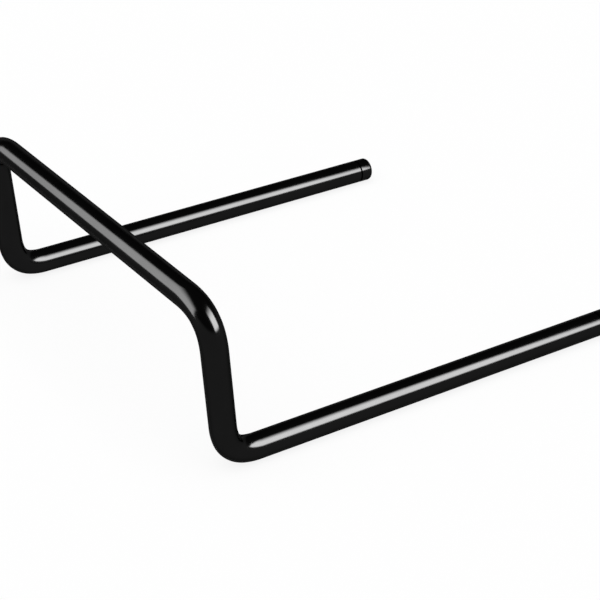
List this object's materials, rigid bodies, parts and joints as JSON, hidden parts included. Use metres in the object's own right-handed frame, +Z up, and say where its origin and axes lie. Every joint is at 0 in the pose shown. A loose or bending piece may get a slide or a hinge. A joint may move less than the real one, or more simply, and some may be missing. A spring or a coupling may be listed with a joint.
{
  "type": "razor stand",
  "caption": "Bent round-tube razor stand: a raised cross bar on leaning risers, straight rails that lie on the counter, and flush plugs in the open ends.",
  "frame": {"origin": "middle of the footprint, on the counter that the rails lie on", "axes": "+Y along the rails, towards their plugged ends; +Z up; +X along the bar"},
  "size_m": [0.104, 0.1146, 0.042],
  "materials": {
    "tube_lacquer": "gloss",
    "plug_plastic": "gloss"
  },
  "bodies": {
    "root": {"bent_tube": "tube_lacquer", "left_end_plug": "plug_plastic", "right_end_plug": "plug_plastic"}
  },
  "joints": []
}
